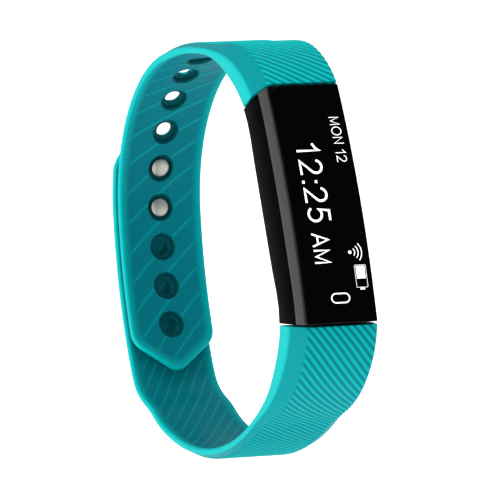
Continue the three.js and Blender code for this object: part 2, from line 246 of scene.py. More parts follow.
def half_width(station, edge):
    """Half the width at each station, where the distance in from the outline is nothing."""
    low, high = np.zeros_like(station), np.full_like(station, HALF_WIDTH)
    for _ in range(40):
        middle = (low + high) / 2
        inside = edge(station, middle) > 0
        low, high = np.where(inside, middle, low), np.where(inside, high, middle)
    return low


def lines(phase, width):
    """1 on each whole number, falling to 0 over half a width on both sides."""
    away = np.abs(phase - np.round(phase))
    return smooth(1 - away / width)


def upper_lines(station, y):
    """Phase of the upper strap's inner lines, which grow steeper and further apart towards its end."""
    along = station + y * (0.6 + 0.011 * np.clip(station - 85, 0, 50))
    return along / 4 - 0.05 * np.maximum(along - 85, 0)


def strap_sections(upper):
    """How the strap's base, rim and crown run along it, its outline, ribs and inner lines."""
    if upper:
        return {
            "edge": upper_edge,
            "thick": lambda s: ease(s - POD_END, UPPER_TAPER),
            "base": lambda s: 0 * s,
            "ribs": lambda s, y: (y + 1.85 * s) / 1.88,
            "lines": upper_lines,
            "line_width": 0.11,
            "end": lambda s: s - POD_END - POD_GAP,
        }
    return {
        "edge": lower_edge,
        "thick": lambda s: ease(LOOP_LENGTH + POD_START - s, LOWER_TAPER),
        "base": lambda s: OVERLAP_OFFSET * (1 - ease(STEP_OUT_START - s, STEP_OUT_START - STEP_OUT_END)),
        "ribs": lambda s, y: (y + 1.35 * s) / 1.46,
        "lines": lambda s, y: (y + 0.7265 * s) / 2.25,
        "line_width": 0.16,
        "end": lambda s: LOOP_LENGTH + POD_START - POD_GAP - s,
    }


def columns(edges, middle):
    """Fractions of the half width, close together at the edges and even between them."""
    outer = 1 - np.array(edges) / HALF_WIDTH
    inner = np.linspace(outer[-1], -outer[-1], middle + 1)
    return np.concatenate([outer[:-1], inner, -outer[:-1][::-1]])


def strap_mesh(name, stations, upper, sizes):
    """One length of strap, closed at both ends, with ribs outside and a bordered, lined field inside, and
    painted light and shade in its tone.
    """
    shape = strap_sections(upper)
    s = np.asarray(stations, float)
    half = half_width(s, shape["edge"])
    roll = 0.2
    fall = np.clip(roll - np.maximum(shape["end"](s), 0), 0, roll)
    roll_in = roll - np.sqrt(roll**2 - fall**2)
    half = half - roll_in
    thick = shape["thick"](s)[:, None]
    base = shape["base"](s)[:, None]
    rim = base + RIM_THICKNESS + (POD_RIM - RIM_THICKNESS) * thick
    crown = base + STRAP_THICKNESS + (POD_THICKNESS - STRAP_THICKNESS) * thick
    rib = sizes.rib_height / MM
    st = s[:, None]

    inside = columns((0, 0.03, 0.09, 0.18, 0.3, 0.46), 70)
    y_in = half[:, None] * inside
    d_in = np.maximum(shape["edge"](st, y_in), 0)
    rounding = 0.45
    turn = np.clip(rounding - d_in, 0, rounding)
    field = smooth((d_in - 0.35) / 1.7)
    line = lines(shape["lines"](st, y_in), shape["line_width"]) * smooth((d_in - 1.2) / 0.9)
    h_in = base + rounding - np.sqrt(rounding**2 - turn**2) + 0.28 * field - 0.07 * line
    # Painted light and shade on the inner face: the recessed field is painted darker as shade, its lines a
    # little lighter, and the rounded edge along the outline gets a painted highlight.
    painted_light_in = 0.62 - 0.32 * field + 0.18 * line + 0.3 * smooth(1 - d_in / 0.45)

    outside = -columns((0, 0.03, 0.08, 0.16, 0.28, 0.5, 0.8, 1.1, 1.3, 1.42, 1.55, 1.7), 66)
    y_out = half[:, None] * outside
    d_out = np.maximum(shape["edge"](st, y_out), 0)
    shoulder = HALF_WIDTH - CROWN_HALF
    slope = np.clip(d_out / shoulder, 0, 1)
    corner = 0.25
    turn = np.clip(corner - d_out, 0, corner)
    lowered = 0.55 * (corner - np.sqrt(corner**2 - turn**2))
    crest = 0.5 + 0.5 * np.cos(2 * np.pi * shape["ribs"](st, y_out))
    crest = smooth(crest)
    rise = smooth((d_out - shoulder + 0.08) / 0.34)
    h_out = rim + (crown - rib - rim) * slope - lowered + rib * crest * rise
    # Painted light and shade on the outer face: the rib crests get a painted highlight, stronger on the upper
    # strap where the top light falls, the valleys painted shade, and the outer edge a painted highlight.
    low, crest_highlight = (0.14, 0.74) if upper else (0.2, 0.5)
    painted_light_out = 0.52 + rise * (crest * crest_highlight - low) + 0.4 * smooth(1 - d_out / 0.14)

    h_in = h_in + roll_in[:, None]
    h_out = h_out - roll_in[:, None]
    walls = [1 / 3, 2 / 3]
    near = [h_in[:, -1:] + (h_out[:, :1] - h_in[:, -1:]) * w for w in walls]
    far = [h_out[:, -1:] + (h_in[:, :1] - h_out[:, -1:]) * w for w in walls]
    rows = len(s)
    height = np.hstack([h_in, *near, h_out, *far])
    across = np.hstack([y_in, *[-half[:, None]] * 2, y_out, *[half[:, None]] * 2])
    # The side walls get a painted highlight, near the brightest tone.
    bright = np.ones((rows, 2)) * 0.98
    tone = np.hstack([painted_light_in, bright, painted_light_out, bright])
    count = height.shape[1]
    points = on_path(np.repeat(s, count), height.ravel(), across.ravel())
    # The faceted CAD lies a hair inside the smooth path, and the strap stays in its box.
    points = np.clip(points, *(np.array(corner) for corner in cad_box))

    ring = np.arange(count)
    after = (ring + 1) % count
    starts = (np.arange(rows - 1) * count)[:, None]
    quads = np.stack([starts + ring, starts + after, starts + count + after, starts + count + ring], -1)
    faces = quads.reshape(-1, 4)
    ends = [list(range(count))[::-1], list(range((rows - 1) * count, rows * count))]
    mesh = bpy.data.meshes.new(name)
    mesh.from_pydata(points, [], faces.tolist() + ends)
    # The tone attribute holds the painted light and shade for the rubber's material.
    attribute = mesh.attributes.new("tone", "FLOAT", "POINT")
    attribute.data.foreach_set("value", tone.ravel().astype(np.float32))
    band = bpy.data.objects.new(name, mesh)
    bpy.context.scene.collection.objects.link(band)
    select_only(band)
    bpy.ops.object.mode_set(mode="EDIT")
    bpy.ops.mesh.select_all(action="SELECT")
    bpy.ops.mesh.normals_make_consistent(inside=False)
    bpy.ops.object.mode_set(mode="OBJECT")
    return band


def stations_between(first, last, pitch):
    """Stations spread evenly over a length, about one pitch apart."""
    return np.linspace(first, last, int(round(abs(last - first) / pitch)) + 1)


# ---- Modelling helpers ----
def select_only(piece):
    """Makes a piece the only one selected, and the active one."""
    bpy.ops.object.select_all(action="DESELECT")
    piece.select_set(True)
    bpy.context.view_layer.objects.active = piece


def turned(name, profile, place, sides=48):
    """A round piece extruded and resized up its [radius, height] profile, in mm, then put in its place."""
    radius, height = profile[0]
    bpy.ops.object.select_all(action="DESELECT")
    bpy.ops.mesh.primitive_circle_add(
        vertices=sides, radius=radius * MM, fill_type="NGON", location=(0, 0, 0)
    )
    piece = bpy.context.object
    piece.name = piece.data.name = name
    bpy.ops.object.mode_set(mode="EDIT")
    bpy.ops.mesh.select_all(action="SELECT")
    bpy.ops.transform.translate(value=(0, 0, height * MM))
    for wide, high in profile[1:]:
        rise = (0, 0, (high - height) * MM)
        bpy.ops.mesh.extrude_region_move(TRANSFORM_OT_translate={"value": rise})
        scale = wide / radius
        bpy.ops.transform.resize(value=(scale, scale, 1), center_override=(0, 0, high * MM))
        radius, height = wide, high
    bpy.ops.mesh.select_all(action="SELECT")
    bpy.ops.mesh.normals_make_consistent(inside=False)
    bpy.ops.object.mode_set(mode="OBJECT")
    piece.data.transform(place)
    return piece


def apply_modifier(piece, kind, **settings):
    """Adds a modifier with these settings and applies it."""
    select_only(piece)
    modifier = piece.modifiers.new(kind.title(), kind)
    for key, value in settings.items():
        setattr(modifier, key, value)
    bpy.ops.object.modifier_apply(modifier=modifier.name)


def cut_away(piece, tool):
    """Cuts one mesh out of another and removes the tool."""
    apply_modifier(piece, "BOOLEAN", operation="DIFFERENCE", solver="EXACT", object=tool)
    bpy.data.objects.remove(tool)


def joined(pieces):
    """Joins pieces into the first of them."""
    bpy.ops.object.select_all(action="DESELECT")
    for piece in pieces:
        piece.select_set(True)
    bpy.context.view_layer.objects.active = pieces[0]
    bpy.ops.object.join()
    return bpy.context.object


def smooth_faces(piece, degrees=32):
    select_only(piece)
    bpy.ops.object.shade_smooth_by_angle(angle=math.radians(degrees))


def rounded_copy(node, name, width, segments=3, degrees=32):
    """A copy of a CAD node with its flat faces rejoined and its edges rounded."""
    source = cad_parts[node]
    piece = bpy.data.objects.new(name, source.data.copy())
    bpy.context.scene.collection.objects.link(piece)
    piece.data.materials.clear()
    select_only(piece)
    bpy.ops.object.mode_set(mode="EDIT")
    bpy.ops.mesh.select_all(action="SELECT")
    bpy.ops.mesh.remove_doubles(threshold=1e-6)
    bpy.ops.mesh.dissolve_limited(angle_limit=math.radians(0.4))
    bpy.ops.object.mode_set(mode="OBJECT")
    apply_modifier(
        piece,
        "BEVEL",
        width=width * MM,
        segments=segments,
        limit_method="ANGLE",
        angle_limit=math.radians(degrees),
        harden_normals=False,
    )
    smooth_faces(piece, degrees)
    return piece


def finish_piece(piece, material, body, node_names):
    """Gives a piece its material and slot, the nodes it stands for and the body it rides on."""
    piece.data.materials.clear()
    piece.data.materials.append(material)
    if node_names:
        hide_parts(*node_names)
    if body:
        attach(piece, body)


# ---- Materials ----
def linear(code):
    """An sRGB hex colour as linear red, green, blue and alpha."""
    parts = [int(code[i : i + 2], 16) / 255 for i in (1, 3, 5)]
    return (*[p / 12.92 if p <= 0.04045 else ((p + 0.055) / 1.055) ** 2.4 for p in parts], 1.0)


def add_node(tree, kind, inputs=None, **settings):
    """Adds a node. An input is a value or another node's output."""
    node = tree.nodes.new(kind)
    for key, value in settings.items():
        setattr(node, key, value)
    for key, value in (inputs or {}).items():
        if isinstance(value, bpy.types.NodeSocket):
            tree.links.new(value, node.inputs[key])
        else:
            node.inputs[key].default_value = value
    return node


def new_material(name):
    """An empty node material and its tree."""
    material = bpy.data.materials.new(name)
    material.use_nodes = True
    material.node_tree.nodes.clear()
    return material, material.node_tree


def close_material(tree, shader):
    add_node(tree, "ShaderNodeOutputMaterial", {"Surface": shader.outputs[0]})


def surface(name, dark, light, rough, grain, depth, metallic=0.0, **shader):
    """A moulded, painted, etched or plated finish: a colour that drifts between two close tones over
    a few grains, a roughness that drifts with it, and a fine bump. Grain and depth are in mm."""
    material, tree = new_material(name)
    where = add_node(tree, "ShaderNodeTexCoord").outputs["Object"]
    broad = add_node(
        tree, "ShaderNodeTexNoise", {"Vector": where, "Scale": 1 / (grain * 12 * MM), "Detail": 3.0}
    )
    fine = add_node(
        tree, "ShaderNodeTexNoise", {"Vector": where, "Scale": 1 / (grain * MM), "Detail": 2.0}
    )
    colour = add_node(
        tree, "ShaderNodeMix", {"Factor": broad.outputs["Fac"], 6: linear(dark), 7: linear(light)},
        data_type="RGBA",
    )
    roughness = add_node(
        tree,
        "ShaderNodeMapRange",
        {"Value": broad.outputs["Fac"], "From Min": 0.3, "From Max": 0.7, "To Min": rough[0],
         "To Max": rough[1]},
    )
    bump = add_node(
        tree, "ShaderNodeBump",
        {"Height": fine.outputs["Fac"], "Strength": 0.6, "Distance": depth * MM},
    )
    inputs = {
        "Base Color": colour.outputs[2],
        "Roughness": roughness.outputs["Result"],
        "Normal": bump.outputs["Normal"],
        "Metallic": metallic,
    }
    close_material(tree, add_node(tree, "ShaderNodeBsdfPrincipled", {**inputs, **shader}))
    return material


def strap_rubber(colours):
    """Silicone rubber, moulded against a fine matt tool: its colour is painted light and shade that follows
    the moulded relief, and it has a soft sheen with a very fine grain."""
    material, tree = new_material("silicone_rubber_moulded")
    where = add_node(tree, "ShaderNodeTexCoord").outputs["Object"]
    tone = add_node(tree, "ShaderNodeAttribute", attribute_name="tone").outputs["Fac"]
    cloud = add_node(tree, "ShaderNodeTexNoise", {"Vector": where, "Scale": 1 / (9 * MM), "Detail": 2.0})
    drift = add_node(
        tree, "ShaderNodeMapRange",
        {"Value": cloud.outputs["Fac"], "To Min": -0.025, "To Max": 0.025},
    )
    level = add_node(tree, "ShaderNodeMath", {0: tone, 1: drift.outputs["Result"]}, operation="ADD")
    ramp = add_node(tree, "ShaderNodeValToRGB", {"Fac": level.outputs[0]})
    # Ramp from painted shade in the holes, through the shaded fields and the shoulders, to the painted
    # highlight on rims and crests.
    stops = [(0.0, colours.deep), (0.3, colours.field), (0.55, colours.body), (1.0, colours.bright)]
    while len(ramp.color_ramp.elements) < len(stops):
        ramp.color_ramp.elements.new(0.5)
    for element, (position, colour) in zip(ramp.color_ramp.elements, stops):
        element.position = position
        element.color = (*colour, 1.0)
    fine = add_node(tree, "ShaderNodeTexNoise", {"Vector": where, "Scale": 1 / (0.12 * MM), "Detail": 2.0})
    bump = add_node(
        tree, "ShaderNodeBump",
        {"Height": fine.outputs["Fac"], "Strength": 0.35, "Distance": 0.012 * MM},
    )
    rough = add_node(
        tree, "ShaderNodeMapRange",
        {"Value": cloud.outputs["Fac"], "From Min": 0.3, "From Max": 0.7, "To Min": 0.4,
         "To Max": 0.48},
    )
    shader = add_node(
        tree, "ShaderNodeBsdfPrincipled",
        {"Base Color": ramp.outputs["Color"], "Roughness": rough.outputs["Result"],
         "Normal": bump.outputs["Normal"], "IOR": 1.41, "Specular IOR Level": 0.05},
    )
    close_material(tree, shader)
    return material


def lit_display(strength):
    """Organic LED cells behind black glass: lit white with a faint raster of dots."""
    material, tree = new_material("oled_cells_lit")
    where = add_node(tree, "ShaderNodeTexCoord").outputs["Object"]
    cells = add_node(tree, "ShaderNodeTexVoronoi", {"Vector": where, "Scale": 1 / (0.18 * MM)})
    glow = add_node(
        tree, "ShaderNodeMapRange",
        {"Value": cells.outputs["Distance"], "To Min": 1.0, "To Max": 0.9},
    )
    white = add_node(
        tree, "ShaderNodeMix", {"Factor": glow.outputs["Result"], 6: linear("#dfe8ee"), 7: linear("#ffffff")},
        data_type="RGBA",
    )
    shader = add_node(
        tree, "ShaderNodeBsdfPrincipled",
        {"Base Color": linear("#d8dde0"), "Roughness": 0.15, "Emission Color": white.outputs[2],
         "Emission Strength": strength},
    )
    close_material(tree, shader)
    return material


def circuit_board():
    """Epoxy glass board with a green solder mask: fine copper tracks show as lighter lines under it."""
    material, tree = new_material("epoxy_glass_solder_masked")
    where = add_node(tree, "ShaderNodeTexCoord").outputs["Object"]
    tracks = add_node(
        tree, "ShaderNodeTexBrick",
        {"Vector": where, "Scale": 1 / (3 * MM), "Color1": linear("#0c4427"), "Color2": linear("#0f4f2e"),
         "Mortar": linear("#2c7a45"), "Mortar Size": 0.03},
    )
    shader = add_node(
        tree, "ShaderNodeBsdfPrincipled",
        {"Base Color": tracks.outputs["Color"], "Roughness": 0.35, "IOR": 1.5},
    )
    close_material(tree, shader)
    return material


def make_finishes(colours):
    """Every finish by its slot in the record."""
    return {
        # Silicone rubber, compression moulded: turquoise and matt, with painted shade in the holes and fields
        # and painted highlights on rims and crests.
        "strap_rubber": strap_rubber(colours),
        # Polycarbonate blend, moulded with a fine spark-eroded grain: black with a dull sheen.
        "black_housing": surface(
            "polycarbonate_spark_textured", "#050506", "#0a0a0b", (0.42, 0.5), 0.1, 0.006, IOR=1.58,
            **{"Specular IOR Level": 0.005}),
        # Polycarbonate, moulded: an even mid grey with a soft satin gloss.
        "grey_bezel": surface(
            "polycarbonate_satin_grey", "#404041", "#474748", (0.36, 0.42), 0.08, 0.003,
            **{"Specular IOR Level": 0.08}),
        # Silicone gasket, pressed: almost black and matt.
        "gasket_rubber": surface(
            "silicone_gasket_pressed", "#1c1c1e", "#262628", (0.7, 0.8), 0.1, 0.01, IOR=1.41,
            **{"Specular IOR Level": 0.15}),
        # Tempered glass, ground and back-printed black: deep black under a hard clear gloss.
        "cover_glass": surface(
            "tempered_glass_back_printed", "#010102", "#030304", (0.035, 0.06), 4.0, 0.0005, IOR=1.52,
            **{"Specular IOR Level": 0.012}),
        # Glass filled nylon, moulded: stiff and black, with a faint mottle from the fibres.
        "tongue_plastic": surface(
            "glass_filled_nylon_moulded", "#121213", "#1b1b1d", (0.5, 0.6), 0.15, 0.01, IOR=1.53),
        # Gold flashed over nickel on copper: a warm, slightly brushed metal.
        "gold_contact": surface(
            "copper_gold_plated", "#c9a04a", "#dcb766", (0.18, 0.26), 0.1, 0.002, metallic=1.0),
        # Aluminium laminate, folded and heat sealed: bright grey, faintly rippled.
        "battery_foil": surface(
            "aluminium_laminate_pouch", "#a9adb2", "#c0c4c8", (0.3, 0.42), 0.6, 0.02, metallic=0.9),
        # Epoxy glass laminate, etched and solder masked: green, with tracks under the mask.
        "circuit_board": circuit_board(),
        # Filled epoxy, transfer moulded: matt charcoal.
        "chip_epoxy": surface(
            "epoxy_package_moulded", "#151517", "#1f1f22", (0.45, 0.55), 0.1, 0.005, IOR=1.55),
        # Alumina, pressed and sintered: off-white and dry.
        "chip_ceramic": surface(
            "alumina_ceramic_sintered", "#cfcbbf", "#ddd9cd", (0.4, 0.5), 0.12, 0.004, IOR=1.76),
        # Steel, deep drawn and nickel plated: warm silver, slightly uneven.
        "nickel_plate": surface(
            "steel_nickel_plated", "#b4b7b2", "#c8cbc6", (0.22, 0.3), 0.2, 0.003, metallic=1.0),
        # Tungsten alloy, pressed and sintered: dense grey, finely grained.
        "rotor_metal": surface(
            "tungsten_alloy_sintered", "#7c7f84", "#92959a", (0.32, 0.42), 0.12, 0.006, metallic=1.0),
        # Organic LED cells, evaporated on glass: white light from the strokes.
        "display_lit": lit_display(colours.display),
        # Display glass, laminated: near black and very smooth.
        "display_panel": surface(
            "oled_glass_laminated", "#06060a", "#0b0b12", (0.06, 0.1), 3.0, 0.0005, IOR=1.52),
        # Polyimide film, laminated over copper: amber.
        "flex_film": surface(
            "polyimide_film_laminated", "#a86a18", "#c3842a", (0.3, 0.4), 0.5, 0.004, IOR=1.7),
        # Copper foil, etched: warm metal, slightly dulled.
        "copper_foil": surface(
            "copper_foil_etched", "#b87a48", "#cd8e58", (0.25, 0.35), 0.3, 0.004, metallic=1.0),
        # Stainless steel, turned and tumbled: satin, warm grey white.
        "stud_metal": surface(
            "stainless_steel_tumbled", "#a3a09a", "#adaaa4", (0.4, 0.48), 0.15, 0.004, metallic=1.0),
    }


# ---- Settings ----
class StrapSizes(bpy.types.PropertyGroup):
    """Sizes of the strap's relief."""

    rib_height: bpy.props.FloatProperty(
        name="Rib height", description="Height of the outer ribs", default=0.3 * MM, unit="LENGTH")
    ring_pitch: bpy.props.FloatProperty(
        name="Ring pitch", description="Spacing of the mesh along the strap", default=0.17 * MM,
        unit="LENGTH")
    hole_radius: bpy.props.FloatProperty(
        name="Hole radius", description="Radius of a hole through the strap", default=1.42 * MM,
        unit="LENGTH")
    recess_radius: bpy.props.FloatProperty(
        name="Recess radius", description="Radius of the recess round a hole", default=2.2 * MM,
        unit="LENGTH")
    stud_radius: bpy.props.FloatProperty(
        name="Stud radius", description="Radius of a stud's head", default=1.7 * MM, unit="LENGTH")


class BandColours(bpy.types.PropertyGroup):
    """Colours of the rubber, from the painted shade in its holes to the painted highlight on its rims and
    crests, and of the display.
    """

    # Stops of the rubber's painted light and shade: shade in the holes, darker recessed fields, shoulders,
    # and highlight on rims and crests.
    deep: bpy.props.FloatVectorProperty(
        name="Deep", description="Rubber inside the holes", subtype="COLOR", default=linear("#003a3d")[:3])
    field: bpy.props.FloatVectorProperty(
        name="Field", description="Rubber in recessed fields", subtype="COLOR",
        default=linear("#006e7a")[:3])
    body: bpy.props.FloatVectorProperty(
        name="Body", description="Rubber on the shoulders", subtype="COLOR", default=linear("#008f94")[:3])
    bright: bpy.props.FloatVectorProperty(
        name="Bright", description="Rubber on rims and crests", subtype="COLOR",
        default=linear("#00bcbb")[:3])
    display: bpy.props.FloatProperty(
        name="Display", description="Strength of the lit display", default=1.0)


def settings():
    scene = bpy.context.scene
    return scene.band_sizes, scene.band_colours


FINISHES = {}


def finish_for(slot_name):
    """The material of a slot. All are made the first time that one is asked for."""
    if not FINISHES:
        FINISHES.update(make_finishes(settings()[1]))
    return FINISHES[slot_name]


# ---- Operators ----
class BAND_OT_upper_strap(bpy.types.Operator):
    """Ribbed upper strap with nine recessed holes and a chevron end"""

    bl_idname = "band.upper_strap"
    bl_label = "Upper strap"

    def execute(self, context):
        sizes = settings()[0]
        pitch = sizes.ring_pitch / MM
        begin = POD_END + POD_GAP
        rolled = begin + np.array([0, 0.02, 0.06, 0.12])
        root = np.concatenate([rolled, stations_between(begin + 0.2, UPPER_SEAM, pitch)])
        near = strap_mesh("upper_strap_root", root, True, sizes)
        tip = self.tip_station()
        close = tip - np.linspace(1, 0, 14)[:-1] ** 2 * 1.2
        tail = np.concatenate(
            [stations_between(UPPER_SEAM, tip - 1.35, pitch), close, [tip - 0.0008]])
        far = strap_mesh("upper_strap_tail_shell", tail, True, sizes)
        cut_socket(near, POD_END, UPPER_POCKET)
        cutters = [
            turned(f"hole_cutter_{i}", self.hole_profile(sizes), place_at(FIRST_HOLE + i * HOLE_PITCH))
            for i in range(HOLE_COUNT)
        ]
        cut_away(far, joined(cutters))
        self.paint_hole_shade(far, sizes)
        rubber = finish_for("strap_rubber")
        for piece in (near, far):
            smooth_faces(piece, 50)
        finish_piece(
            near, rubber, None,
            ["upper_strap_socket", "upper_strap_neck", "upper_strap_arch"])
        finish_piece(far, rubber, None, ["upper_strap_tail"])
        blend_between(near, "upper_socket", "upper_arch", *UPPER_GIVE)
        blend_between(far, "upper_arch", "upper_tail", *UPPER_BEND)
        return {"FINISHED"}

    @staticmethod
    def tip_station():
        low, high = 130.0, 138.0
        for _ in range(50):
            middle = (low + high) / 2
            low, high = (middle, high) if upper_edge(middle, 0.0) > 0 else (low, middle)
        return low

    @staticmethod
    def paint_hole_shade(strap, sizes):
        """Paints shade on the walls and floors of the holes, as the rubber's deep tone."""
        count = len(strap.data.vertices)
        points, tone = np.empty(count * 3, np.float32), np.empty(count, np.float32)
        strap.data.vertices.foreach_get("co", points)
        strap.data.attributes["tone"].data.foreach_get("value", tone)
        points = points.reshape(-1, 3)
        for i in range(HOLE_COUNT):
            place = np.array(place_at(FIRST_HOLE + i * HOLE_PITCH))
            along, across, height = ((points - place[:3, 3]) @ place[:3, :3] / MM).T
            reach = sizes.recess_radius / MM + 0.22
            tone[(np.hypot(along, across) < reach) & (height > 0.05) & (height < 1.6)] = 0.06
        strap.data.attributes["tone"].data.foreach_set("value", tone)

    @staticmethod
    def hole_profile(sizes):
        """A hole from inside to outside: flared mouth, recess, its floor and the hole through."""
        recess, hole = sizes.recess_radius / MM, sizes.hole_radius / MM
        return [
            (recess + 0.5, -0.6), (recess + 0.32, 0.16), (recess + 0.2, 0.27), (recess + 0.08, 0.36),
            (recess, 0.52), (recess, 0.95), (hole + 0.14, 0.95), (hole + 0.04, 1.0), (hole, 1.1),
            (hole, 1.7), (hole + 0.25, 2.05), (hole + 0.25, 2.6),
        ]


def cut_socket(strap, station, depth):
    """Cuts the pocket for a tongue, depth mm deep, into the pod end of a strap."""
    bpy.ops.object.select_all(action="DESELECT")
    bpy.ops.mesh.primitive_cube_add(size=1, location=(0, 0, 0))
    tool = bpy.context.object
    tool.name = "socket_cutter"
    bpy.ops.object.mode_set(mode="EDIT")
    bpy.ops.mesh.select_all(action="SELECT")
    room = 2 * SOCKET_CLEARANCE
    size = (2 * depth * MM, (TONGUE_WIDTH + room) * MM, (TONGUE_THICKNESS + room) * MM)
    bpy.ops.transform.resize(value=size)
    bpy.ops.mesh.bevel(offset=0.4 * MM, segments=3, affect="EDGES")
    bpy.ops.object.mode_set(mode="OBJECT")
    tool.data.transform(place_at(station, TONGUE_HEIGHT))
    cut_away(strap, tool)


def blend_between(piece, body_a, body_b, start, end):
    """Works out a strap's points at two stations, then bakes the strap's place into its mesh."""
    first, last = (tuple(on_path(np.array([s]), 1.0, 0.0)[0]) for s in (start, end))
    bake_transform(piece)


class BAND_OT_lower_strap(bpy.types.Operator):
    """Ribbed lower strap that lies outside the upper one and carries the studs"""

    bl_idname = "band.lower_strap"
    bl_label = "Lower strap"

    def execute(self, context):
        sizes = settings()[0]
        pitch = sizes.ring_pitch / MM
        end = LOOP_LENGTH + POD_START - POD_GAP
        rolled = end - np.array([0.12, 0.06, 0.02, 0])
        root = np.concatenate([stations_between(LOWER_SEAM, end - 0.2, pitch), rolled])
        near = strap_mesh("lower_strap_root", root, False, sizes)
        tip = LOWER_TIP_START - LOWER_TIP_LENGTH
        close = tip + np.linspace(0, 1, 14)[1:] ** 2 * 1.2
        tail = np.concatenate(
            [[tip + 0.0008], close, stations_between(tip + 1.35, LOWER_SEAM, pitch)])
        far = strap_mesh("lower_strap_tail_shell", tail, False, sizes)
        cut_socket(near, POD_START, LOWER_POCKET)
        rubber = finish_for("strap_rubber")
        for piece in (near, far):
            smooth_faces(piece, 50)
        finish_piece(
            near, rubber, None,
            ["lower_strap_socket", "lower_strap_neck", "lower_strap_arch"])
        finish_piece(far, rubber, None, ["lower_strap_tail"])
        blend_between(near, "lower_socket", "lower_arch", *LOWER_GIVE)
        blend_between(far, "lower_arch", "lower_tail", *LOWER_BEND)
        return {"FINISHED"}


class BAND_OT_studs(bpy.types.Operator):
    """Two domed steel studs that hold the straps together"""

    bl_idname = "band.studs"
    bl_label = "Clasp studs"

    def execute(self, context):
        radius = settings()[0].stud_radius / MM
        dome = [(radius * math.sin(a), 0.62 - 0.6 * math.cos(a)) for a in np.linspace(0.12, 1.45, 9)]
        profile = [
            *dome, (radius, 0.68), (radius - 0.03, 0.78), (radius - 0.12, 0.84), (1.12, 0.92),
            (1.1, 1.05), (1.1, 2.62), (2.3, 2.72), (2.4, 2.82), (2.4, 3.3), (2.3, 3.42),
        ]
        for number, hole in enumerate(STUD_HOLES, 1):
            stud = turned(f"stud_{number}", profile, place_at(FIRST_HOLE + hole * HOLE_PITCH))
            smooth_faces(stud, 40)
            finish_piece(
                stud, finish_for("stud_metal"), "lower_tail", [f"clasp_stud_{number}"])
        return {"FINISHED"}


class BAND_OT_housing(bpy.types.Operator):
    """Pod housing: case with its walls, back cover, grey bezel and the gasket under the glass"""

    bl_idname = "band.housing"
    bl_label = "Pod housing"

    def execute(self, context):
        for node, name, width, slot_name in (
            ("lower_case", "pod_case", 0.16, "black_housing"),
            ("back_cover", "pod_back", 0.2, "black_housing"),
            ("bezel_frame", "pod_bezel", 0.1, "grey_bezel"),
        ):
            piece = rounded_copy(node, name, width)
            finish_piece(piece, finish_for(slot_name), "pod", [node])
        set_finish("cover_gasket", "gasket_rubber")
        return {"FINISHED"}


def set_finish(node, slot_name):
    """Gives a CAD node that keeps its shape its procedural material."""
    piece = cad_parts[node]
    piece.data.materials.clear()
    piece.data.materials.append(finish_for(slot_name))


class BAND_OT_glass(bpy.types.Operator):
    """Bowed black glass with ground edges"""

    bl_idname = "band.glass"
    bl_label = "Cover glass"

    def execute(self, context):
        glass = rounded_copy("glass_cover", "pod_glass", 0.2, 4)
        finish_piece(glass, finish_for("cover_glass"), "pod", ["glass_cover"])
        return {"FINISHED"}


# ---- Display graphics ----
def on_glass(across, up, lift=0.0):
    """Points on the bowed outer face of the glass."""
    (low_x, low_z), (high_x, high_z) = GLASS_ENDS
    share = (up + POD_MIDDLE - low_z) / (high_z - low_z)
    flat = low_x + (high_x - low_x) * share
    bow = GLASS_BACK + POD_CROWN - (low_x + high_x) / 2
    return lean(flat + bow * (1 - (2 * share - 1) ** 2) + lift, across, up + POD_MIDDLE)


def arc(middle, radius, first, last, steps=9, stretch=1.0):
    """Points on an arc, from one angle to another in degrees. Stretch widens it in its first direction."""
    angles = np.radians(np.linspace(first, last, steps))
    return [
        (middle[0] + stretch * radius * math.cos(a), middle[1] + radius * math.sin(a)) for a in angles
    ]


def stroke(points, width, closed=False):
    """The two sides of a line of that width, mitred at its bends."""
    p = np.array(points, float)
    if closed:
        before, after = np.roll(p, 1, 0), np.roll(p, -1, 0)
    else:
        before, after = np.vstack([2 * p[0] - p[1], p[:-1]]), np.vstack([p[1:], 2 * p[-1] - p[-2]])
    sides = []
    for start, end in ((before, p), (p, after)):
        d = end - start
        d /= np.linalg.norm(d, axis=1)[:, None]
        sides.append(np.stack([-d[:, 1], d[:, 0]], 1))
    mitre = sides[0] + sides[1]
    mitre /= np.linalg.norm(mitre, axis=1)[:, None]
    reach = 1 / np.maximum((mitre * sides[0]).sum(1), 0.55)
    shift = mitre * (reach * width / 2)[:, None]
    return p + shift, p - shift, closed


# Strokes of each character: points along the line and up from it, for a capital of height 1.
GLYPHS = {
    "1": [[(0.0, 0.72), (0.2, 0.84), (0.3, 1.0), (0.3, 0.0)]],
    "2": [[*arc((0.29, 0.7), 0.27, 168, -38, 14), (0.03, 0.04), (0.62, 0.04)]],
    "5": [[(0.55, 0.96), (0.14, 0.96), (0.07, 0.5), *arc((0.28, 0.33), 0.29, 118, -150, 16)]],
    "A": [[(0.0, 0.0), (0.36, 1.0), (0.72, 0.0)], [(0.13, 0.33), (0.59, 0.33)]],
    "M": [[(0.05, 0.0), (0.05, 0.95), (0.4, 0.1), (0.75, 0.95), (0.75, 0.0)]],
    "N": [[(0.05, 0.0), (0.05, 0.95), (0.62, 0.05), (0.62, 1.0)]],
    ":": [[(0.0, 0.0), (0.0, 0.1)], [(0.0, 0.56), (0.0, 0.66)]],
}
OVAL = arc((0.42, 0.5), 0.46, 0, 345, 24, 0.85)
# Each line of characters: baseline across, height of a capital, stroke, and where each one starts.
TIME_LINE = (-3.92, 4.25, 0.4, [("1", 9.72), ("2", 6.72), (":", 2.75), ("2", 1.65), ("5", -1.9)])
NOON_LINE = (-3.85, 3.05, 0.32, [("A", -6.6), ("M", -9.4)])
DAY_LINE = (3.38, 1.9, 0.14, [("M", 14.5), ("O", 12.65), ("N", 10.75), ("1", 8.4), ("2", 7.3)])


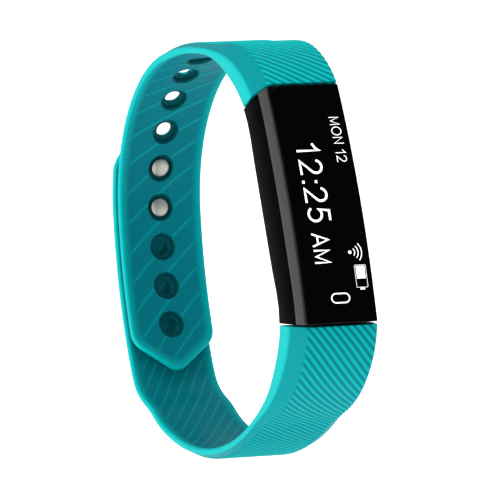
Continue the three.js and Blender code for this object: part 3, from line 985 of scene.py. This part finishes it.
class BAND_OT_display(bpy.types.Operator):
    """Lit graphics: time, day, a wireless mark, a battery gauge and the touch key's outline"""

    bl_idname = "band.display"
    bl_label = "Display graphics"

    def execute(self, context):
        for name, ribbons in (
            ("time_digits", self.characters(TIME_LINE) + self.characters(NOON_LINE)),
            ("day_digits", self.characters(DAY_LINE)),
            ("wireless_mark", self.wireless_mark(2.9, -10.1)),
            ("battery_gauge", self.battery_gauge(4.42, -14.35)),
            ("touch_key_mark", [self.rounded_ring(0.05, -18.0, 1.68, 0.8, 0.8, 0.22)]),
        ):
            piece = self.plates(name, ribbons)
            finish_piece(piece, finish_for("display_lit"), "pod", [])
        return {"FINISHED"}

    @staticmethod
    def characters(line):
        baseline, height, width, places = line
        ribbons = []
        for character, start in places:
            for points in GLYPHS.get(character, [OVAL]):
                placed = [(baseline + height * y, start - height * x) for x, y in points]
                wide = width * 1.3 if character == ":" else width
                ribbons.append(stroke(placed, wide, closed=points is OVAL))
        return ribbons

    @staticmethod
    def rounded_ring(across, up, half_wide, half_long, corner, width):
        points = []
        for number, (sx, sy) in enumerate(((1, 1), (-1, 1), (-1, -1), (1, -1))):
            middle = (across + sx * (half_wide - corner), up + sy * (half_long - corner))
            points += arc(middle, corner, 90 * number + 5, 90 * number + 85, 7)
        return stroke(points, width, closed=True)

    @staticmethod
    def wireless_mark(across, up):
        """Three arcs over a dot."""
        dot = arc((across, up), 0.3, 4, 176, 8), arc((across, up), 0.3, -4, -176, 8), False
        return [dot] + [stroke(arc((across, up), r, -42, 42, 12), 0.15) for r in (0.9, 1.55, 2.2)]

    def battery_gauge(self, across, up):
        """A cell with its nub at the bottom, filled in its upper part."""
        bars = [[(across, up + 1.78), (across, up - 0.42)], [(across, up - 2.05), (across, up - 2.35)]]
        ring = self.rounded_ring(across, up, 1.05, 1.95, 0.15, 0.06)
        return [ring, stroke(bars[0], 1.62), stroke(bars[1], 0.85)]

    @staticmethod
    def plates(name, ribbons):
        """A thin closed plate for each pair of sides, on the glass."""
        points, faces = [], []
        for near, far, closed in ribbons:
            count, start = len(near), len(points)
            for lift in (0.006, 0.02):
                for side in (near, far):
                    points += [(*p, lift) for p in side]
            a, b, c, d = (start + k * count for k in range(4))
            for i in range(count if closed else count - 1):
                j = (i + 1) % count
                faces += [(c + i, c + j, d + j, d + i), (a + j, a + i, b + i, b + j)]
                faces += [(a + i, a + j, c + j, c + i), (b + j, b + i, d + i, d + j)]
            if not closed:
                e = count - 1
                faces += [(a, c, d, b), (a + e, b + e, d + e, c + e)]
        flat = np.array(points)
        mesh = bpy.data.meshes.new(name)
        mesh.from_pydata(on_glass(flat[:, 0], flat[:, 1], flat[:, 2]), [], faces)
        piece = bpy.data.objects.new(name, mesh)
        bpy.context.scene.collection.objects.link(piece)
        select_only(piece)
        bpy.ops.object.mode_set(mode="EDIT")
        bpy.ops.mesh.select_all(action="SELECT")
        bpy.ops.mesh.normals_make_consistent(inside=False)
        bpy.ops.object.mode_set(mode="OBJECT")
        return piece


class BAND_OT_charging(bpy.types.Operator):
    """Charging tongue with its four gold contacts"""

    bl_idname = "band.charging"
    bl_label = "Charging tongue"

    def execute(self, context):
        tongue = rounded_copy("charging_tongue", "charging_plug", 0.3, 4)
        finish_piece(
            tongue, finish_for("tongue_plastic"), "pod", ["charging_tongue"])
        for number in range(1, 5):
            node = f"charging_contact_{number}"
            contact = rounded_copy(node, f"gold_pad_{number}", 0.04, 2)
            finish_piece(contact, finish_for("gold_contact"), "pod", [node])
        return {"FINISHED"}


class BAND_OT_electronics(bpy.types.Operator):
    """Cell, board, chips, display panel and vibration motor inside the pod"""

    bl_idname = "band.electronics"
    bl_label = "Electronics"

    def execute(self, context):
        for node, slot_name in (
            ("battery_cell", "battery_foil"),
            ("main_board", "circuit_board"),
            ("processor_chip", "chip_epoxy"),
            ("motion_sensor_chip", "chip_epoxy"),
            ("crystal", "nickel_plate"),
            ("antenna_chip", "chip_ceramic"),
            ("oled_panel", "display_panel"),
            ("oled_flex", "flex_film"),
            ("touch_electrode", "copper_foil"),
            ("motor_base", "nickel_plate"),
            ("motor_cap", "nickel_plate"),
            ("motor_rotor", "rotor_metal"),
        ):
            set_finish(node, slot_name)
        return {"FINISHED"}


class BAND_OT_stage(bpy.types.Operator):
    """Pale floor, soft studio light and the camera"""

    bl_idname = "band.stage"
    bl_label = "Stage and camera"

    def execute(self, context):
        self.add_floor()
        self.add_lights()
        self.add_camera()
        context.scene.view_settings.view_transform = "Standard"
        return {"FINISHED"}

    @staticmethod
    def add_floor():
        """A floor low enough for the lower strap's tail to swing open above it."""
        bpy.ops.object.select_all(action="DESELECT")
        low = cad_box[0][2]
        bpy.ops.mesh.primitive_grid_add(
            x_subdivisions=8, y_subdivisions=8, size=8, location=(0, 0, low - FLOOR_DROP))
        floor = bpy.context.object
        floor.name = "floor"
        # Painted board: plain near-white with a faint drift of tone.
        floor.data.materials.append(
            surface(
                "painted_board_matt", "#f8f8f8", "#fcfcfc", (0.8, 0.9), 2.0, 0.002,
                **{"Emission Color": (1, 1, 1, 1), "Emission Strength": 0.7}))

    @staticmethod
    def add_lights():
        world = bpy.data.worlds.new("studio")
        bpy.context.scene.world = world
        world.use_nodes = True
        background = world.node_tree.nodes["Background"]
        background.inputs["Color"].default_value = (1, 1, 1, 1)
        background.inputs["Strength"].default_value = 0.62
        for name, place, size, power in (
            ("key_light", (0.15, -0.75, 0.35), 0.6, 2.2),
            ("top_light", (0.05, 0.1, 0.85), 0.7, 3.2),
        ):
            lamp = bpy.data.lights.new(name, "AREA")
            lamp.shape, lamp.size, lamp.energy = "SQUARE", size, power
            holder = bpy.data.objects.new(name, lamp)
            holder.location = place
            holder.rotation_euler = (-Vector(place)).to_track_quat("-Z", "Y").to_euler()
            bpy.context.scene.collection.objects.link(holder)

    @staticmethod
    def add_camera():
        """Looks at the pod from its front and a little above, along a long lens."""
        def turn(v):
            return Vector(lean(np.array([v[0]]), v[1], np.array([v[2]]))[0]).normalized()

        right, up, toward = (
            turn(v) for v in (
                (0.3711, 0.9153, -0.1567), (0.2871, 0.0474, 0.9567), (0.8831, -0.4, -0.2451)))
        origin = Vector(lean(np.array([-8.77]), 0.0, np.array([-4.63]))[0])
        aim = (-toward + 0.00442 * right + 0.00566 * up).normalized()
        side = aim.cross(up).normalized()
        data = bpy.data.cameras.new("camera")
        data.lens, data.sensor_width, data.clip_end = 499, 36, 20
        camera = bpy.data.objects.new("camera", data)
        camera.matrix_world = Matrix.Translation(origin + toward * 1.237) @ Matrix(
            (side, side.cross(aim), -aim)).transposed().to_4x4()
        bpy.context.scene.collection.objects.link(camera)
        bpy.context.scene.camera = camera


class BAND_PT_panel(bpy.types.Panel):
    """Lists the pieces that can be built"""

    bl_label = "Tracker band"
    bl_idname = "BAND_PT_panel"
    bl_space_type = "VIEW_3D"
    bl_region_type = "UI"
    bl_category = "Tracker band"

    def draw(self, context):
        for operator in OPERATORS:
            self.layout.operator(operator.bl_idname)
        for group in settings():
            for name in group.__annotations__:
                self.layout.prop(group, name)


OPERATORS = (
    BAND_OT_stage,
    BAND_OT_housing,
    BAND_OT_glass,
    BAND_OT_display,
    BAND_OT_charging,
    BAND_OT_electronics,
    BAND_OT_upper_strap,
    BAND_OT_lower_strap,
    BAND_OT_studs,
)
CLASSES = (StrapSizes, BandColours, *OPERATORS, BAND_PT_panel)


def register():
    for cls in CLASSES:
        bpy.utils.register_class(cls)
    bpy.types.Scene.band_sizes = bpy.props.PointerProperty(type=StrapSizes)
    bpy.types.Scene.band_colours = bpy.props.PointerProperty(type=BandColours)


def unregister():
    del bpy.types.Scene.band_colours, bpy.types.Scene.band_sizes
    for cls in reversed(CLASSES):
        bpy.utils.unregister_class(cls)


def main():
    register()
    bpy.ops.band.stage()
    bpy.ops.band.housing()
    bpy.ops.band.glass()
    bpy.ops.band.display()
    bpy.ops.band.charging()
    bpy.ops.band.electronics()
    bpy.ops.band.upper_strap()
    bpy.ops.band.lower_strap()
    bpy.ops.band.studs()


if __name__ == "__main__":
    main()
